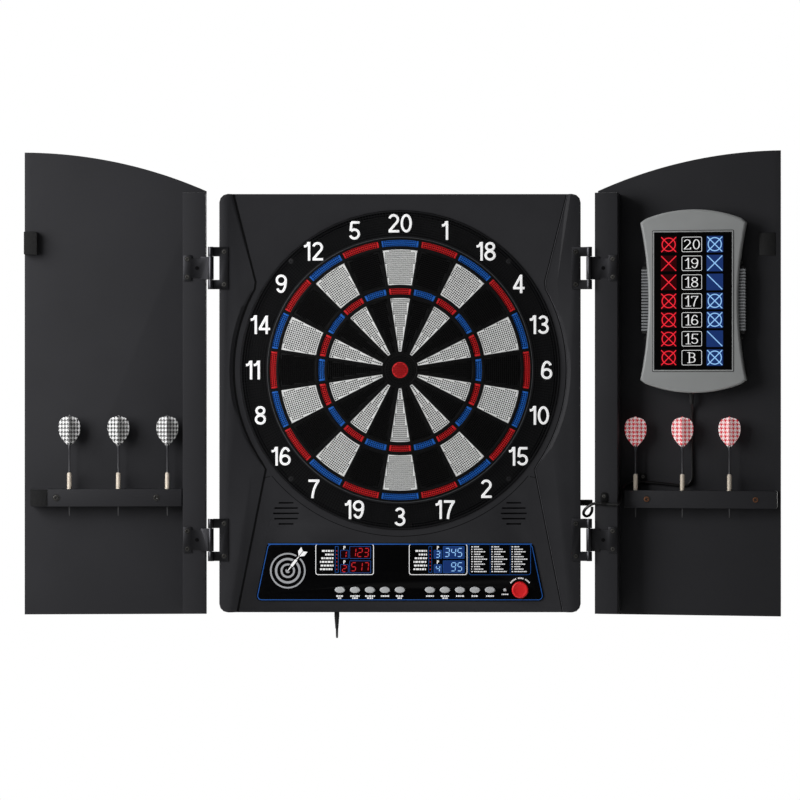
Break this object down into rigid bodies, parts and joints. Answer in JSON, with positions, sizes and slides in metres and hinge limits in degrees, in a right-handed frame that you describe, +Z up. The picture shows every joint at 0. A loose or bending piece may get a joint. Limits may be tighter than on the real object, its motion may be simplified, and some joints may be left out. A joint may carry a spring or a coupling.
{
  "type": "electronic dartboard",
  "caption": "Electronic dartboard: sprung target segments in a wall housing with control panel, two hinged cabinet doors with dart racks, darts, and a cricket scoreboard.",
  "frame": {"origin": "the bull's axis on the wall plane, at the middle of the back cover's boss", "axes": "+Z up, +X to the right as one faces the target, +Y into the wall"},
  "size_m": [1.1518, 0.088, 0.7411],
  "materials": {
    "housing_plastic": "grained matte moulding",
    "door_board": "satin black painted board",
    "ring_plastic": "matte moulding",
    "overlay": "smoked gloss panel",
    "rubber": "matte rubber",
    "film": "printed sensor film",
    "circuit_board": "solder-masked board",
    "display": "display module behind smoked plastic",
    "hinge_steel": "dark plated steel",
    "dart_metal": "knurled plated brass barrel",
    "scoreboard_silver": "silver-grey satin plastic",
    "segment_blue": "semi-matte thermoplastic",
    "segment_white": "semi-matte thermoplastic",
    "segment_red": "semi-matte thermoplastic",
    "segment_black": "semi-matte thermoplastic",
    "button_grey": "silicone key",
    "start_red": "red start key",
    "lead_black": "flexible lead jacket"
  },
  "bodies": {
    "housing": {"housing_shell": "housing_plastic", "back_cover": "ring_plastic", "spider_frame": "ring_plastic", "catch_ring": "ring_plastic", "rubber_mat": "rubber", "sensor_membrane": "film", "control_overlay": "overlay", "score_display_left": "display", "score_display_right": "display", "main_board": "circuit_board", "speaker_left": "ring_plastic", "speaker_right": "ring_plastic", "power_jack": "rubber", "hinge_bracket_left_upper": "hinge_steel", "hinge_bracket_left_lower": "hinge_steel", "hinge_bracket_right_upper": "hinge_steel", "hinge_bracket_right_lower": "hinge_steel", "display_plug": "lead_black", "power_plug": "lead_black", "power_cord": "lead_black", "power_cord_coil": "lead_black", "wall_adaptor": "ring_plastic"},
    "double_ring": {"double_ring": "segment_blue"},
    "outer_single_ring": {"outer_single_ring": "segment_white"},
    "triple_ring": {"triple_ring": "segment_red"},
    "inner_single_ring": {"inner_single_ring": "segment_white"},
    "outer_bull": {"outer_bull": "segment_black"},
    "inner_bull": {"inner_bull": "segment_red"},
    "game_button_1": {"game_button_1": "button_grey"},
    "game_button_2": {"game_button_2": "button_grey"},
    "game_button_3": {"game_button_3": "button_grey"},
    "game_button_4": {"game_button_4": "button_grey"},
    "game_button_5": {"game_button_5": "button_grey"},
    "game_button_6": {"game_button_6": "button_grey"},
    "game_button_7": {"game_button_7": "button_grey"},
    "game_button_8": {"game_button_8": "button_grey"},
    "game_button_9": {"game_button_9": "button_grey"},
    "game_button_10": {"game_button_10": "button_grey"},
    "reset_button": {"reset_button": "button_grey"},
    "start_button": {"start_button": "start_red"},
    "left_door": {"left_door_panel": "door_board", "left_door_rail": "door_board", "hinge_leaf_left_upper": "hinge_steel", "hinge_leaf_left_lower": "hinge_steel", "left_dart_rack": "door_board", "closure_block": "rubber"},
    "right_door": {"right_door_panel": "door_board", "right_door_rail": "door_board", "hinge_leaf_right_upper": "hinge_steel", "hinge_leaf_right_lower": "hinge_steel", "right_dart_rack": "door_board", "scoreboard_shell": "scoreboard_silver", "scoreboard_lens": "display", "display_lead": "lead_black"},
    "dart_left_1": {"dart_left_1": "dart_metal"},
    "dart_left_2": {"dart_left_2": "dart_metal"},
    "dart_left_3": {"dart_left_3": "dart_metal"},
    "dart_right_1": {"dart_right_1": "dart_metal"},
    "dart_right_2": {"dart_right_2": "dart_metal"},
    "dart_right_3": {"dart_right_3": "dart_metal"}
  },
  "joints": [
    {"name": "left_door_hinge", "type": "hinge", "parent": "housing", "child": "left_door", "pos_m": [-0.286, -0.0665, 0], "axis": [0, 0, 1], "range_deg": [-2.5, 177.5]},
    {"name": "right_door_hinge", "type": "hinge", "parent": "housing", "child": "right_door", "pos_m": [0.286, -0.0665, 0], "axis": [0, 0, -1], "range_deg": [-10, 170], "deforming": ["display_lead"]},
    {"name": "double_ring_press", "type": "slide", "parent": "housing", "child": "double_ring", "axis": [0, 1, 0], "range_m": [0, 0.0012], "stiffness_N_per_m": 1500},
    {"name": "outer_single_ring_press", "type": "slide", "parent": "housing", "child": "outer_single_ring", "axis": [0, 1, 0], "range_m": [0, 0.0012], "stiffness_N_per_m": 1500},
    {"name": "triple_ring_press", "type": "slide", "parent": "housing", "child": "triple_ring", "axis": [0, 1, 0], "range_m": [0, 0.0012], "stiffness_N_per_m": 1500},
    {"name": "inner_single_ring_press", "type": "slide", "parent": "housing", "child": "inner_single_ring", "axis": [0, 1, 0], "range_m": [0, 0.0012], "stiffness_N_per_m": 1500},
    {"name": "outer_bull_press", "type": "slide", "parent": "housing", "child": "outer_bull", "axis": [0, 1, 0], "range_m": [0, 0.0012], "stiffness_N_per_m": 1500},
    {"name": "inner_bull_press", "type": "slide", "parent": "housing", "child": "inner_bull", "axis": [0, 1, 0], "range_m": [0, 0.0012], "stiffness_N_per_m": 1500},
    {"name": "game_button_1_press", "type": "slide", "parent": "housing", "child": "game_button_1", "axis": [0, 1, 0], "range_m": [0, 0.0015], "stiffness_N_per_m": 600},
    {"name": "game_button_2_press", "type": "slide", "parent": "housing", "child": "game_button_2", "axis": [0, 1, 0], "range_m": [0, 0.0015], "stiffness_N_per_m": 600},
    {"name": "game_button_3_press", "type": "slide", "parent": "housing", "child": "game_button_3", "axis": [0, 1, 0], "range_m": [0, 0.0015], "stiffness_N_per_m": 600},
    {"name": "game_button_4_press", "type": "slide", "parent": "housing", "child": "game_button_4", "axis": [0, 1, 0], "range_m": [0, 0.0015], "stiffness_N_per_m": 600},
    {"name": "game_button_5_press", "type": "slide", "parent": "housing", "child": "game_button_5", "axis": [0, 1, 0], "range_m": [0, 0.0015], "stiffness_N_per_m": 600},
    {"name": "game_button_6_press", "type": "slide", "parent": "housing", "child": "game_button_6", "axis": [0, 1, 0], "range_m": [0, 0.0015], "stiffness_N_per_m": 600},
    {"name": "game_button_7_press", "type": "slide", "parent": "housing", "child": "game_button_7", "axis": [0, 1, 0], "range_m": [0, 0.0015], "stiffness_N_per_m": 600},
    {"name": "game_button_8_press", "type": "slide", "parent": "housing", "child": "game_button_8", "axis": [0, 1, 0], "range_m": [0, 0.0015], "stiffness_N_per_m": 600},
    {"name": "game_button_9_press", "type": "slide", "parent": "housing", "child": "game_button_9", "axis": [0, 1, 0], "range_m": [0, 0.0015], "stiffness_N_per_m": 600},
    {"name": "game_button_10_press", "type": "slide", "parent": "housing", "child": "game_button_10", "axis": [0, 1, 0], "range_m": [0, 0.0015], "stiffness_N_per_m": 600},
    {"name": "reset_button_press", "type": "slide", "parent": "housing", "child": "reset_button", "axis": [0, 1, 0], "range_m": [0, 0.0012], "stiffness_N_per_m": 600},
    {"name": "start_button_press", "type": "slide", "parent": "housing", "child": "start_button", "axis": [0, 1, 0], "range_m": [0, 0.003], "stiffness_N_per_m": 400},
    {"name": "dart_left_1_lift", "type": "slide", "parent": "left_door", "child": "dart_left_1", "axis": [0, 0, 1], "range_m": [0, 0.045]},
    {"name": "dart_left_2_lift", "type": "slide", "parent": "left_door", "child": "dart_left_2", "axis": [0, 0, 1], "range_m": [0, 0.045]},
    {"name": "dart_left_3_lift", "type": "slide", "parent": "left_door", "child": "dart_left_3", "axis": [0, 0, 1], "range_m": [0, 0.045]},
    {"name": "dart_right_1_lift", "type": "slide", "parent": "right_door", "child": "dart_right_1", "axis": [0, 0, 1], "range_m": [0, 0.026]},
    {"name": "dart_right_2_lift", "type": "slide", "parent": "right_door", "child": "dart_right_2", "axis": [0, 0, 1], "range_m": [0, 0.026]},
    {"name": "dart_right_3_lift", "type": "slide", "parent": "right_door", "child": "dart_right_3", "axis": [0, 0, 1], "range_m": [0, 0.026]}
  ]
}
